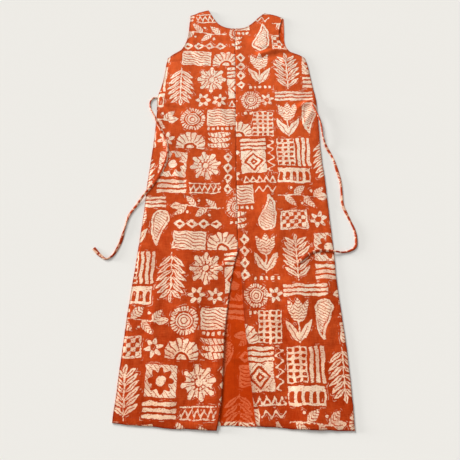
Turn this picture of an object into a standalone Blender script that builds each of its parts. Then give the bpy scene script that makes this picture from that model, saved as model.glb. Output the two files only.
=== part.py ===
"""Maxi dress laid flat, front up: two front panels with a slit, one back panel and two waist ties.

Metres, +Z up. The dress lies on the plane z = 0 with its hem towards -Y and its shoulders towards
+Y. Heights in the tables are measured from the hem's lowest point and x from the middle of the
whole outline, so a height becomes a y by taking MID_HEIGHT away.
"""

import math
from collections import namedtuple

import bpy
import numpy as np
from mathutils import Vector
from mathutils.bvhtree import BVHTree

# Driving sizes of the garment
LENGTH = 1.360
MID_HEIGHT = LENGTH / 2
CLOTH = 0.0015
GAP = 0.0003
UNDERARM = 1.153
HALF_SEAM = GAP / 2

# Where the front panels lie: on the back panel, one gap above it
FRONT_UNDERSIDE = CLOTH + GAP
FRONT_TOP = FRONT_UNDERSIDE + CLOTH

# How finely the cloth is divided
BODY_ROWS = 45
STRAP_ROWS = 8
FRONT_COLUMNS = 14
BACK_COLUMNS = 8
SHARP_ANGLE = math.radians(40)

# Heights of the hem's corners, and how far each hem bows between them. The bow fades out within
# the lowest rows, by this power of the distance from the hem.
HEM_LEFT = 0.0198
HEM_RIGHT = 0.001
HEM_SLIT_LEFT = 0.002
HEM_SLIT_RIGHT = 0.012
HEM_BACK = 0.0125
FRONT_LEFT_BOW = -0.003
FRONT_RIGHT_BOW = -0.0025
BACK_BOW = 0.001
BOW_POWER = 12

# How far each shoulder seam bows up, and where in the strap's rows that starts
FRONT_SHOULDER_BOW = 0.002
BACK_SHOULDER_BOW = 0.001
SHOULDER_BOW_START = 0.7

# The share of a panel's body rows that lies below the underarm, and the share of its armhole's
# length that lies beside the body rows above it
FRONT_BODY_SHARE = 0.905
FRONT_ARMHOLE_SHARE = 0.56
BACK_BODY_SHARE = 0.925
BACK_ARMHOLE_SHARE = 0.42

# Waist ties: folded straps of the same cloth. TIE_REACH is how far around a point the cloth
# below it is felt, so that a tie never cuts a fold. TIE_LOOK is the share of a tie's length
# over which its direction is taken.
TIE_THICKNESS = 0.0024
TIE_STEP = 0.009
TIE_COLUMNS = 2
TIE_REACH = 0.004
TIE_LOOK = 0.005

# Colours of the cloth's printed side and of its wrong side
PRINTED_SIDE = (0.54, 0.080, 0.019)
WRONG_SIDE = (0.51, 0.045, 0.005)

Side = namedtuple("Side", "height left right")
Edge = namedtuple("Edge", "height x")
Point = namedtuple("Point", "x height")
Fold = namedtuple("Fold", "start end width rise")
Station = namedtuple("Station", "x height width")
Tie = namedtuple("Tie", "name side floor_start route")
Hem = namedtuple("Hem", "side outer inner body_share armhole_share")
Panel = namedtuple("Panel", "hem outer inner neck shoulder_bow neck_base hem_bow columns")

# Side seams, from the hem up to the underarms
SIDES = (
    Side(0.000, -0.2980, 0.3390),
    Side(0.180, -0.2850, 0.3340),
    Side(0.340, -0.2720, 0.3220),
    Side(0.520, -0.2540, 0.3140),
    Side(0.710, -0.2410, 0.3050),
    Side(0.845, -0.2300, 0.2965),
    Side(0.935, -0.2255, 0.2962),
    Side(1.010, -0.2240, 0.2925),
    Side(1.050, -0.2140, 0.2850),
    Side(1.095, -0.2065, 0.2780),
    Side(UNDERARM, -0.2012, 0.2697),
)

# Armholes, from the underarm up to the shoulder. The right front's is cut deeper than the back's.
LEFT_ARMHOLE = (
    Point(-0.2015, UNDERARM),
    Point(-0.1918, 1.1688),
    Point(-0.1611, 1.1850),
    Point(-0.1480, 1.2050),
    Point(-0.1384, 1.2262),
    Point(-0.1324, 1.2510),
    Point(-0.1294, 1.2767),
    Point(-0.1265, 1.3361),
)
RIGHT_ARMHOLE_FRONT = (
    Point(0.2697, UNDERARM),
    Point(0.2600, 1.1655),
    Point(0.2190, 1.1830),
    Point(0.1965, 1.2080),
    Point(0.1840, 1.2262),
    Point(0.1806, 1.2520),
    Point(0.1835, 1.2830),
    Point(0.1960, 1.3265),
)
RIGHT_ARMHOLE_BACK = (
    Point(0.2697, UNDERARM),
    Point(0.2620, 1.1655),
    Point(0.2220, 1.1830),
    Point(0.2045, 1.2050),
    Point(0.1990, 1.2262),
    Point(0.1980, 1.2520),
    Point(0.1990, 1.2830),
    Point(0.1994, 1.3240),
)

# The front's centre seam, and the slit's two edges below it
SLIT_TOP = 0.486
CENTRE_SEAM = (Edge(SLIT_TOP, 0.0363), Edge(0.535, 0.0356), Edge(0.816, 0.0312), Edge(1.281, 0.0298))
SLIT_LEFT = (
    Edge(0.002, -0.0225),
    Edge(0.044, -0.0140),
    Edge(0.110, -0.0085),
    Edge(0.216, -0.0040),
    Edge(0.306, 0.0040),
    Edge(0.394, 0.0155),
    Edge(0.459, 0.0285),
    Edge(SLIT_TOP, 0.0363),
)
SLIT_RIGHT = (
    Edge(0.012, 0.0810),
    Edge(0.052, 0.0755),
    Edge(0.117, 0.0685),
    Edge(0.224, 0.0583),
    Edge(0.314, 0.0505),
    Edge(0.394, 0.0458),
    Edge(0.447, 0.0415),
    Edge(SLIT_TOP, 0.0363),
)

# Necklines, from the lowest point up to each shoulder
FRONT_NECK_LEFT = (
    Point(0.0298, 1.2803),
    Point(0.0100, 1.2825),
    Point(-0.0110, 1.2888),
    Point(-0.0310, 1.3052),
    Point(-0.0430, 1.3235),
    Point(-0.0631, 1.3600),
)
FRONT_NECK_RIGHT = (
    Point(0.0298, 1.2803),
    Point(0.0500, 1.2822),
    Point(0.0710, 1.2900),
    Point(0.0940, 1.3090),
    Point(0.1150, 1.3322),
    Point(0.1330, 1.3475),
)
BACK_NECK_LEFT = (
    Point(0.0325, 1.2480),
    Point(0.0050, 1.2515),
    Point(-0.0230, 1.2665),
    Point(-0.0450, 1.2960),
    Point(-0.0560, 1.3260),
    Point(-0.0640, 1.3588),
)
BACK_NECK_RIGHT = (
    Point(0.0325, 1.2480),
    Point(0.0600, 1.2515),
    Point(0.0880, 1.2650),
    Point(0.1110, 1.2900),
    Point(0.1240, 1.3170),
    Point(0.1335, 1.3465),
)
BACK_CENTRE = (Edge(0.010, 0.0260), Edge(0.600, 0.0310), Edge(1.248, 0.0325))

# The largest folds of the front, as soft ridges along a line. BASE_LIFT is how far the front
# stands off the back between them, and SIDE_FADE how far from a side seam that is fully so.
BASE_LIFT = 0.0004
SIDE_FADE = 0.035
FOLDS = (
    Fold(Point(-0.182, 0.848), Point(-0.120, 0.770), 0.020, 0.0030),
    Fold(Point(-0.150, 0.755), Point(-0.100, 0.655), 0.020, 0.0024),
    Fold(Point(0.095, 1.215), Point(0.185, 1.150), 0.022, 0.0028),
    Fold(Point(0.128, 0.800), Point(0.140, 0.520), 0.030, 0.0026),
    Fold(Point(-0.105, 0.610), Point(-0.150, 0.090), 0.036, 0.0028),
    Fold(Point(0.195, 0.430), Point(0.235, 0.020), 0.036, 0.0028),
    Fold(Point(-0.150, 1.090), Point(-0.050, 1.020), 0.024, 0.0020),
    Fold(Point(-0.015, 0.250), Point(-0.045, 0.010), 0.026, 0.0030),
    Fold(Point(-0.030, 0.960), Point(0.015, 0.720), 0.032, 0.0016),
    Fold(Point(0.235, 0.940), Point(0.190, 0.700), 0.028, 0.0022),
)

# Routes of the two ties, from the side seam to the free end, in plan. A tie is narrow where it
# turns on its edge and full width where it lies flat.
TIES = (
    Tie("tie_left", -1, 0.050, (
        Station(-0.2272, 1.0062, 0.0050),
        Station(-0.2372, 1.0045, 0.0060),
        Station(-0.2455, 0.9964, 0.0060),
        Station(-0.2490, 0.9825, 0.0045),
        Station(-0.2454, 0.9638, 0.0045),
        Station(-0.2345, 0.9419, 0.0055),
        Station(-0.2185, 0.9070, 0.0090),
        Station(-0.1950, 0.8560, 0.0110),
        Station(-0.1835, 0.8170, 0.0075),
        Station(-0.1880, 0.7750, 0.0105),
        Station(-0.2130, 0.7155, 0.0115),
        Station(-0.2465, 0.6649, 0.0085),
        Station(-0.2697, 0.6297, 0.0090),
        Station(-0.2900, 0.5985, 0.0080),
        Station(-0.3005, 0.5600, 0.0050),
        Station(-0.3100, 0.5160, 0.0112),
        Station(-0.3210, 0.4880, 0.0090),
        Station(-0.3335, 0.4695, 0.0060),
        Station(-0.3483, 0.4620, 0.0045),
        Station(-0.3665, 0.4725, 0.0100),
        Station(-0.3885, 0.4945, 0.0120),
    )),
    Tie("tie_right", 1, 0, (
        Station(0.2800, 0.9810, 0.0050),
        Station(0.2870, 0.9610, 0.0050),
        Station(0.2965, 0.9370, 0.0055),
        Station(0.3035, 0.9060, 0.0060),
        Station(0.3093, 0.8520, 0.0045),
        Station(0.3155, 0.8285, 0.0095),
        Station(0.3240, 0.8089, 0.0100),
        Station(0.3345, 0.7860, 0.0055),
        Station(0.3445, 0.7450, 0.0110),
        Station(0.3525, 0.7060, 0.0075),
        Station(0.3532, 0.6700, 0.0070),
        Station(0.3542, 0.6277, 0.0095),
        Station(0.3630, 0.6020, 0.0105),
        Station(0.3735, 0.5747, 0.0070),
        Station(0.3818, 0.5530, 0.0070),
        Station(0.3850, 0.5230, 0.0085),
        Station(0.3803, 0.4975, 0.0090),
        Station(0.3640, 0.4865, 0.0070),
        Station(0.3448, 0.4820, 0.0050),
        Station(0.3180, 0.4840, 0.0060),
        Station(0.2800, 0.4862, 0.0095),
        Station(0.2540, 0.4812, 0.0100),
        Station(0.2315, 0.4675, 0.0110),
        Station(0.2085, 0.4500, 0.0110),
    )),
)

# A tie comes down from the cloth's height to the floor between these distances from the side
# seam. One that starts on the floor climbs onto the cloth within CLIMB_RUN of its length.
CLIMB_NEAR = 0.007
CLIMB_FAR = 0.026
CLIMB_RUN = 0.030


def smooth_step(low, high, value):
    """0 below low, 1 above high and an even rise between them."""
    t = np.clip((value - low) / (high - low), 0, 1)
    return t * t * (3 - 2 * t)


def through(points, where, value):
    """The smooth curve through the points, read at one value of where."""
    slopes = np.gradient(points, where)
    i = int(np.clip(np.searchsorted(where, value) - 1, 0, len(where) - 2))
    span = where[i + 1] - where[i]
    t = np.clip((value - where[i]) / span, 0, 1)
    start = (1 + 2 * t) * (1 - t) ** 2 * points[i] + t * (1 - t) ** 2 * span * slopes[i]
    end = t * t * (3 - 2 * t) * points[i + 1] + t * t * (t - 1) * span * slopes[i + 1]
    return start + end


def edge_x(table, height):
    """The x of an edge at a height."""
    return through([row.x for row in table], [row.height for row in table], height)


def along(points, fraction):
    """The point at a fraction of the length of a smooth line through the points."""
    xs = [p.x for p in points]
    heights = [p.height for p in points]
    steps = np.hypot(np.diff(xs), np.diff(heights))
    lengths = np.concatenate([[0], np.cumsum(steps)])
    at = fraction * lengths[-1]
    return Point(through(xs, lengths, at), through(heights, lengths, at))


def side_x(height, side):
    """The side seam's x: side is -1 on the left and 1 on the right."""
    xs = [row.left if side < 0 else row.right for row in SIDES]
    return through(xs, [row.height for row in SIDES], height)


def lift(x, height):
    """How far the front's folds raise it above the back at one place."""
    total = BASE_LIFT
    for fold in FOLDS:
        run_x = fold.end.x - fold.start.x
        run_h = fold.end.height - fold.start.height
        t = ((x - fold.start.x) * run_x + (height - fold.start.height) * run_h) / (run_x**2 + run_h**2)
        t = min(max(t, 0), 1)
        away = math.hypot(x - fold.start.x - t * run_x, height - fold.start.height - t * run_h)
        total += fold.rise * math.exp(-((away / fold.width) ** 2))
    inward = min(x - side_x(height, -1), side_x(height, 1) - x)
    return total * smooth_step(0, SIDE_FADE, inward)


def place_of(panel, across, up):
    """Where a panel's point lies: across runs from the outer edge inwards, up from hem to shoulder."""
    body_share = BODY_ROWS / (BODY_ROWS + STRAP_ROWS)
    if up <= body_share:
        share = up / body_share
        below = panel.hem.body_share
        if share <= below:
            outer_height = panel.hem.outer + (UNDERARM - panel.hem.outer) * share / below
            outer = Point(side_x(outer_height, panel.hem.side), outer_height)
        else:
            outer = along(panel.outer, panel.hem.armhole_share * (share - below) / (1 - below))
        inner_height = panel.hem.inner + (panel.neck_base - panel.hem.inner) * share
        inner = Point(panel.inner(inner_height), inner_height)
        bow = panel.hem_bow * (1 - share) ** BOW_POWER
    else:
        share = (up - body_share) / (1 - body_share)
        beside_body = panel.hem.armhole_share
        outer = along(panel.outer, beside_body + (1 - beside_body) * share)
        inner = along(panel.neck, share)
        bow = panel.shoulder_bow * smooth_step(SHOULDER_BOW_START, 1.0, share)
    x = outer.x + (inner.x - outer.x) * across
    height = outer.height + (inner.height - outer.height) * across + bow * math.sin(math.pi * across)
    return Point(x, height)


def centre_or_slit(slit, side):
    """The inner edge of a front panel: the slit's edge below SLIT_TOP, the centre seam above it."""
    def x_at(height):
        table = slit if height < SLIT_TOP else CENTRE_SEAM
        return edge_x(table, height) + side * HALF_SEAM
    return x_at


def material(name, colour, roughness):
    """A plain cloth material."""
    cloth = bpy.data.materials.new(name)
    cloth.use_nodes = True
    shader = cloth.node_tree.nodes["Principled BSDF"]
    shader.inputs["Base Color"].default_value = (*colour, 1)
    shader.inputs["Roughness"].default_value = roughness
    shader.inputs["Metallic"].default_value = 0
    return cloth


def grid(name, columns, rows, collection):
    """A flat unit grid in the dress's collection, to be shaped point by point."""
    bpy.ops.mesh.primitive_grid_add(x_subdivisions=columns, y_subdivisions=rows, size=1)
    sheet = bpy.context.object
    sheet.name = name
    sheet.data.name = name
    for holder in list(sheet.users_collection):
        holder.objects.unlink(sheet)
    collection.objects.link(sheet)
    return sheet


def give_wall(sheet, thickness, cloth):
    """Turns an open sheet into a wall standing up from it."""
    sheet.data.materials.append(cloth)
    wall = sheet.modifiers.new("wall", "SOLIDIFY")
    wall.thickness = thickness
    wall.offset = 1
    sheet.data.shade_smooth()
    sheet.data.set_sharp_from_angle(angle=SHARP_ANGLE)


def shape_panel(sheet, panel, underside):
    """Moves a grid's points to a panel's places, at the height that underside gives."""
    for vertex in sheet.data.vertices:
        u = min(max(vertex.co.x + 0.5, 0), 1)
        across = u if panel.hem.side < 0 else 1 - u
        place = place_of(panel, across, min(max(vertex.co.y + 0.5, 0), 1))
        vertex.co = (place.x, place.height - MID_HEIGHT, underside(place.x, place.height))


def front_underside(x, height):
    return FRONT_UNDERSIDE + lift(x, height)


def make_front(name, panel, cloth, collection):
    """One front panel, lying on the back with its folds. Returns its surface, for what lies on it."""
    sheet = grid(name, panel.columns, BODY_ROWS + STRAP_ROWS, collection)
    shape_panel(sheet, panel, front_underside)
    give_wall(sheet, CLOTH, cloth)
    return BVHTree.FromObject(sheet, bpy.context.evaluated_depsgraph_get())


def make_back(halves, cloth, collection):
    """The back in one piece: two shaped halves, welded on the centre line below the neck."""
    sheets = []
    for panel in halves:
        sheet = grid("back", panel.columns, BODY_ROWS + STRAP_ROWS, collection)
        shape_panel(sheet, panel, lambda x, height: 0)
        sheets.append(sheet)
    bpy.ops.object.select_all(action="DESELECT")
    for sheet in sheets:
        sheet.select_set(True)
    bpy.context.view_layer.objects.active = sheets[0]
    bpy.ops.object.join()
    back = sheets[0]
    back.name = "back"
    bpy.ops.object.mode_set(mode="EDIT")
    bpy.ops.mesh.select_all(action="SELECT")
    bpy.ops.mesh.remove_doubles(threshold=0.00001)
    bpy.ops.object.mode_set(mode="OBJECT")
    give_wall(back, CLOTH, cloth)


def highest_under(fronts, x, height):
    """The top of the front panels around one place, or 0 beside them."""
    tops = [0]
    for step_x in (-TIE_REACH, 0, TIE_REACH):
        for step_h in (-TIE_REACH, 0, TIE_REACH):
            above = Vector((x + step_x, height + step_h - MID_HEIGHT, 1))
            for front in fronts:
                hit = front.ray_cast(above, Vector((0, 0, -1)))[0]
                if hit:
                    tops.append(hit.z)
    return max(tops)


def tie_underside(tie, fronts, x, height, run):
    """The floor beside the dress, and the front's top where the tie lies on it."""
    outside = tie.side * (x - side_x(height, tie.side))
    climbing = 1 - smooth_step(CLIMB_NEAR, CLIMB_FAR, outside)
    gate = 1
    if tie.floor_start:
        gate = smooth_step(tie.floor_start, tie.floor_start + CLIMB_RUN, run)
    top = max(highest_under(fronts, x, height), climbing * FRONT_TOP)
    return gate * (top + GAP * climbing)


def make_tie(tie, fronts, cloth, collection):
    """A flat strap along its route, with the width of each station."""
    xs = [p.x for p in tie.route]
    heights = [p.height for p in tie.route]
    lengths = np.concatenate([[0], np.cumsum(np.hypot(np.diff(xs), np.diff(heights)))])
    widths = [p.width for p in tie.route]
    strap = grid(tie.name, TIE_COLUMNS, round(lengths[-1] / TIE_STEP), collection)
    for vertex in strap.data.vertices:
        share = min(max(vertex.co.y + 0.5, 0), 1)
        here = along(tie.route, share)
        ahead = along(tie.route, min(share + TIE_LOOK, 1))
        behind = along(tie.route, max(share - TIE_LOOK, 0))
        run_x = ahead.x - behind.x
        run_h = ahead.height - behind.height
        run = math.hypot(run_x, run_h)
        offset = vertex.co.x * through(widths, lengths, share * lengths[-1])
        x = here.x + offset * run_h / run
        height = here.height - offset * run_x / run
        z = tie_underside(tie, fronts, x, height, share * lengths[-1])
        vertex.co = (x, height - MID_HEIGHT, z)
    give_wall(strap, TIE_THICKNESS, cloth)


def main():
    for old in list(bpy.data.objects):
        bpy.data.objects.remove(old)
    dress = bpy.data.collections.new("maxi_dress")
    bpy.context.scene.collection.children.link(dress)

    left_hem = Hem(-1, HEM_LEFT, HEM_SLIT_LEFT, FRONT_BODY_SHARE, FRONT_ARMHOLE_SHARE)
    right_hem = Hem(1, HEM_RIGHT, HEM_SLIT_RIGHT, FRONT_BODY_SHARE, FRONT_ARMHOLE_SHARE)
    front_left = Panel(left_hem, LEFT_ARMHOLE, centre_or_slit(SLIT_LEFT, -1), FRONT_NECK_LEFT,
                       FRONT_SHOULDER_BOW, FRONT_NECK_LEFT[0].height, FRONT_LEFT_BOW, FRONT_COLUMNS)
    front_right = Panel(right_hem, RIGHT_ARMHOLE_FRONT, centre_or_slit(SLIT_RIGHT, 1), FRONT_NECK_RIGHT,
                        FRONT_SHOULDER_BOW, FRONT_NECK_RIGHT[0].height, FRONT_RIGHT_BOW, FRONT_COLUMNS)
    fronts = [
        make_front("front_left", front_left, material("left front cloth", PRINTED_SIDE, 0.9), dress),
        make_front("front_right", front_right, material("right front cloth", PRINTED_SIDE, 0.9), dress),
    ]

    back_left_hem = Hem(-1, HEM_LEFT, HEM_BACK, BACK_BODY_SHARE, BACK_ARMHOLE_SHARE)
    back_right_hem = Hem(1, HEM_RIGHT, HEM_BACK, BACK_BODY_SHARE, BACK_ARMHOLE_SHARE)
    back_halves = [
        Panel(hem, armhole, lambda height: edge_x(BACK_CENTRE, height), neck, BACK_SHOULDER_BOW,
              neck[0].height, BACK_BOW, BACK_COLUMNS)
        for hem, armhole, neck in (
            (back_left_hem, LEFT_ARMHOLE, BACK_NECK_LEFT),
            (back_right_hem, RIGHT_ARMHOLE_BACK, BACK_NECK_RIGHT),
        )
    ]
    make_back(back_halves, material("back cloth", WRONG_SIDE, 0.92), dress)

    for tie in TIES:
        make_tie(tie, fronts, material(tie.name, PRINTED_SIDE, 0.9), dress)


main()
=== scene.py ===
"""Sleeveless maxi dress in hand-block-printed cotton, laid flat with its front up.

Metres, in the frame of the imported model. Heights are measured from the hem's lowest point, so a
height is a y plus MID_HEIGHT.
"""

import math
from collections import namedtuple

import bmesh
import bpy
import numpy as np
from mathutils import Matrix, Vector
from mathutils.bvhtree import BVHTree


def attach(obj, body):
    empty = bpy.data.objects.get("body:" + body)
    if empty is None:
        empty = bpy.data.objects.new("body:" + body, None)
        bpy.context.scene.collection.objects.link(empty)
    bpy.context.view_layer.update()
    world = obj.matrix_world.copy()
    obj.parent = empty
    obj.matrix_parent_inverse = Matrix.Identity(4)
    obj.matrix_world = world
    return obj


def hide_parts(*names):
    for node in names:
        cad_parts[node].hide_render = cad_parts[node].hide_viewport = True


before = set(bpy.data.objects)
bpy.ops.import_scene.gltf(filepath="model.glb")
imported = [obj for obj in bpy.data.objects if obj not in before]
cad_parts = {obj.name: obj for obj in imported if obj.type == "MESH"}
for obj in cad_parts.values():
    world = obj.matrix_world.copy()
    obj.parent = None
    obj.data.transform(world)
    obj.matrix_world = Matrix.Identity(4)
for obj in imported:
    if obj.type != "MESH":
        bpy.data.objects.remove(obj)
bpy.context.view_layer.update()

bpy.ops.object.select_all(action="DESELECT")

# The print
#
# Cream motifs on a rust ground, printed by hand with carved blocks in a repeat of 420 by 640 mm.
# Each block is drawn by its own function, from its width and height in millimetres.

REPEAT_WIDTH = 420
REPEAT_HEIGHT = 640
UNCARVED = -0.3


def shape(ink, line=0.5, cut=UNCARVED):
    """A carved shape, as three values at each place.

    Ink is how far inside the shape the place is, in mm. Line is a count that is whole on each
    carved line, and cut is half the width of such a line in that count, or UNCARVED.
    """
    return np.broadcast_arrays(np.asarray(ink, float), line, cut)


def over(*shapes):
    """Several shapes as one: at each place the most inside one wins."""
    ink, line, cut = (part.copy() for part in shapes[0])
    for other in shapes[1:]:
        wins = other[0] > ink
        for kept, new in zip((ink, line, cut), other):
            kept[wins] = new[wins]
    return ink, line, cut


def block(u, v, width, height):
    return -np.maximum(abs(u) - width / 2, abs(v) - height / 2)


def disc(u, v, radius):
    return radius - np.hypot(u, v)


def polar(u, v):
    return np.hypot(u, v), np.arctan2(v, u)


def stroke(u, v, start, end, thick):
    """A straight cut line with round ends."""
    run_u, run_v = end[0] - start[0], end[1] - start[1]
    t = np.clip(((u - start[0]) * run_u + (v - start[1]) * run_v) / (run_u**2 + run_v**2), 0, 1)
    return thick / 2 - np.hypot(u - start[0] - t * run_u, v - start[1] - t * run_v)


def blade(u, v, base, tip, width, veins=0):
    """A pointed leaf. It has a carved midrib, or side veins a few millimetres apart."""
    run_u, run_v = tip[0] - base[0], tip[1] - base[1]
    length = math.hypot(run_u, run_v)
    along = ((u - base[0]) * run_u + (v - base[1]) * run_v) / length
    across = ((u - base[0]) * run_v - (v - base[1]) * run_u) / length
    t = np.clip(along / length, 0, 1)
    beyond = np.maximum(np.maximum(-along, along - length), 0)
    ink = width / 2 * np.sin(math.pi * t**0.85) ** 0.8 - np.hypot(across, beyond)
    if veins:
        return shape(ink, (along - 0.9 * abs(across)) / veins, 0.14)
    return shape(ink, across / 20, np.where(t < 0.75, 0.055, UNCARVED))


def fern(u, v, width, height):
    """A frond: pairs of slim leaflets up a stem."""
    parts = [shape(stroke(u, v, (0, -height / 2), (0, height / 2 - 14), 3.6))]
    for pair in range(6):
        foot = -height / 2 + height * (0.10 + 0.134 * pair)
        reach = width / 2 * (0.72 + 0.28 * math.sin(math.pi * (0.2 + 0.14 * pair)))
        reach *= 1 - 0.06 * max(pair - 3, 0)
        for side in (-1, 1):
            parts.append(blade(u, v, (side * 1.5, foot - 3), (side * reach, foot + 0.72 * reach), 12.5))
    parts.append(blade(u, v, (0, height / 2 - 26), (0, height / 2), 12))
    return over(*parts)


def sprig(u, v, width, height):
    """A lying stem with broad veined leaves by turns above and below, and berries."""
    bend = v + 5 * np.sin(u / width * 5)
    parts = [shape(stroke(u, bend, (-width / 2, 0), (width / 2 - 22, 0), 3.4))]
    for leaf in range(4):
        foot = -width / 2 + width * (0.12 + 0.19 * leaf)
        side = 1 if leaf % 2 else -1
        tip = (foot + 0.22 * width, side * height * 0.47)
        parts.append(blade(u, bend, (foot, side), tip, height * 0.30, veins=8.5))
    parts.append(blade(u, bend, (width / 2 - 34, 0), (width / 2, 3), height * 0.30))
    for berry in range(3):
        at = -width / 2 + width * (0.26 + 0.2 * berry)
        side = -1 if berry % 2 else 1
        parts.append(shape(disc(u - at, bend - side * height * 0.30, 4.6)))
    return over(*parts)


def daisy(u, v, width, height):
    """A round flower with eight petals, a ring of dots and a solid eye."""
    r, turn = polar(u, v)
    big = width / 2
    edge = big * (0.86 + 0.14 * np.cos(8 * turn))
    petals = shape(np.minimum(edge - r, r - 0.46 * big), turn * 8 / math.pi + 0.5, 0.11)
    dots = 0.085 * big - abs(r - 0.34 * big)
    dots = np.minimum(dots, (0.32 - abs((turn * 11 / math.pi / 2) % 1 - 0.5)) * r * 0.55)
    return over(petals, shape(dots), shape(disc(u, v, 0.19 * big)))


def bloom(u, v, width, height):
    """A small six-petalled flower with a hole for its eye."""
    r, turn = polar(u, v)
    edge = width / 2 * (0.76 + 0.24 * np.cos(6 * turn))
    return shape(np.minimum(edge - r, r - 0.17 * width), turn * 6 / math.pi / 2 + 0.5, 0.07)


def sun(u, v, width, height):
    """A disc carved with rings, inside a ring of short rays."""
    r, turn = polar(u, v)
    big = width / 2
    rays = (0.30 - abs((turn * 13 / math.pi) % 1 - 0.5)) * r * math.pi / 13
    rays = np.minimum(rays, 0.17 * big - abs(r - 0.83 * big))
    return over(shape(disc(u, v, 0.56 * big), r / (0.22 * big), 0.17), shape(rays))


def tulip(u, v, width, height):
    """A cup flower on a stem with two long leaves."""
    top = height / 2
    parts = [shape(stroke(u, v, (0, -top), (0, top - 0.4 * height), 4))]
    for side in (-1, 1):
        petal_foot = (side * 2, top - 0.55 * height)
        parts.append(blade(u, v, petal_foot, (side * 0.36 * width, top - 4), 0.30 * width, 9))
        parts.append(blade(u, v, (0, -top + 4), (side * 0.46 * width, -top + 0.52 * height), 0.26 * width))
    parts.append(blade(u, v, (0, top - 0.58 * height), (0, top), 0.36 * width, 9))
    return over(*parts)


def star(u, v, width, height):
    """A square block with an eight-pointed star cut out round a small disc."""
    r, turn = polar(u, v)
    points = width * 0.42 * (0.62 + 0.38 * abs(np.cos(4 * turn)) ** 1.5)
    plate = np.minimum(block(u, v, width, height), np.maximum(r - points, disc(u, v, 0.16 * width)))
    return shape(plate, (u + v) / 15, np.where(r > points, 0.07, UNCARVED))


def checks(u, v, width, height):
    """A framed block of checks."""
    cell = width / 7
    squares = np.sin(math.pi * u / cell) * np.sin(math.pi * v / cell) * cell / math.pi
    inner = np.minimum(squares, block(u, v, width - 6, height - 6))
    rim = np.minimum(block(u, v, width, height), -block(u, v, width - 8, height - 8))
    return shape(np.maximum(inner, rim))


def diamonds(u, v, width, height):
    """Pierced diamonds, one above the other."""
    count = round(height / width / 1.25)
    step = height / count
    w = (v + height / 2) % step - step / 2
    away = abs(u) / (width / 2) + abs(w) / (step / 2)
    ink = np.minimum(1 - away, (away - 0.42) * 1.2) * width * 0.36
    return shape(np.minimum(ink, block(u, v, width, height)))


def zigzag(u, v, width, height):
    """A zigzag between two rules."""
    period = 17
    wave = (abs((u / period) % 1 - 0.5) * 4 - 1) * (height / 2 - 8)
    rules = 1.9 - abs(abs(v) - height / 2 + 2)
    ink = np.maximum((4.6 - abs(v - wave)) * 0.6, rules)
    return shape(np.minimum(ink, block(u, v, width, height)))


def bars(u, v, width, height):
    """Three long bars, not quite straight."""
    step = height / 2.7
    bent = v + 1.3 * np.sin(u / 13)
    row = np.clip(np.round(bent / step), -1, 1)
    ink = np.minimum(step * 0.31 - abs(bent - row * step), width / 2 - abs(u))
    return shape(ink, v / 30 + 0.25, 0.02)


def dashes(u, v, width, height):
    """A row of short dashes."""
    step = width / round(width / 15)
    ink = np.minimum(height / 2 - abs(v), 4.3 - abs((u + width / 2) % step - step / 2))
    return shape(np.minimum(ink, width / 2 - abs(u)))


def fan(u, v, width, height):
    """A scalloped half disc with rays."""
    w = v + height / 2
    r, turn = polar(u, w)
    edge = height * (0.95 + 0.05 * np.cos(14 * turn))
    ink = np.minimum(np.minimum(edge - r, w), np.maximum(r - 0.34 * height, 0.22 * height - r))
    carved = np.where(r > 0.4 * height, 0.11, UNCARVED)
    return shape(np.minimum(ink, width / 2 - abs(u)), turn * 9 / math.pi + 0.5, carved)


def paisley(u, v, width, height):
    """A drop with a bent tip, a rim and a solid heart."""
    ink = np.full(np.shape(u), -99.0)
    for step in range(15):
        t = step / 14
        cu = 0.16 * width * math.sin(2.6 * t) * (1 + t)
        cv = -height * 0.5 + 0.44 * width + t * (height - 0.46 * width)
        ink = np.maximum(ink, disc(u - cu, v - cv, 0.44 * width * (1 - t) ** 0.8 + 1.2))
    heart = np.maximum(2.9 - abs(ink - 3.2), ink - 8.6)
    return shape(np.minimum(ink, heart), (u + 1.5 * v) / 13, np.where(ink > 8, 0.11, UNCARVED))


def arches(u, v, width, height):
    """A block with a row of round-topped openings."""
    count = round(width / 19)
    step = width / count
    w = (u + width / 2) % step - step / 2
    arch = disc(w, v - height * 0.12, step * 0.30)
    opening = np.maximum(arch, block(w, v + height * 0.12, step * 0.6, height * 0.48))
    return shape(np.minimum(block(u, v, width, height), -opening))


def scribble(u, v, width, height):
    """A solid block carved all over with wavy lines."""
    plate = block(u, v, width, height)
    line = (v + 3.0 * np.sin(u / 7.5) + 0.25 * u) / 9.5
    return shape(plate, line, np.where(plate > 3.0, 0.15, UNCARVED))


def nested(u, v, width, height):
    """A diamond in a diamond in a square."""
    away = (abs(u) / width + abs(v) / height) * 2
    rings = (0.27 - abs((away * 2.1 + 0.5) % 1 - 0.5)) * width * 0.30
    corners = (away - 1.16) * width * 0.36
    return shape(np.minimum(block(u, v, width, height), np.maximum(rings, corners)))


def squiggle(u, v, width, height):
    """One wavy stroke."""
    wave = height * 0.36 * np.sin(2 * math.pi * u / 27)
    return shape(np.minimum(2.7 - abs(v - wave) * 0.78, width / 2 - abs(u)))


def triangles(u, v, width, height):
    """A row of small pierced triangles."""
    step = width / round(width / 22)
    w = (u + width / 2) % step - step / 2
    slope = (height / 2 - v) * 0.42 - abs(w) * 0.84
    ink = np.minimum(slope, v + height / 2)
    return shape(np.minimum(np.minimum(ink, 1.6 - abs(ink - 1.8) + 0.4), width / 2 - abs(u)))


def pods(u, v, width, height):
    """Half-moon seed pods, stacked."""
    count = 3
    step = height / count
    w = (v + height / 2) % step
    ink = np.minimum(disc(u, (w - step * 0.86) * width / step * 0.58, width / 2), step * 0.84 - w)
    return shape(np.minimum(ink, block(u, v, width, height)), u / 12 + w / 30, 0.11)


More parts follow.
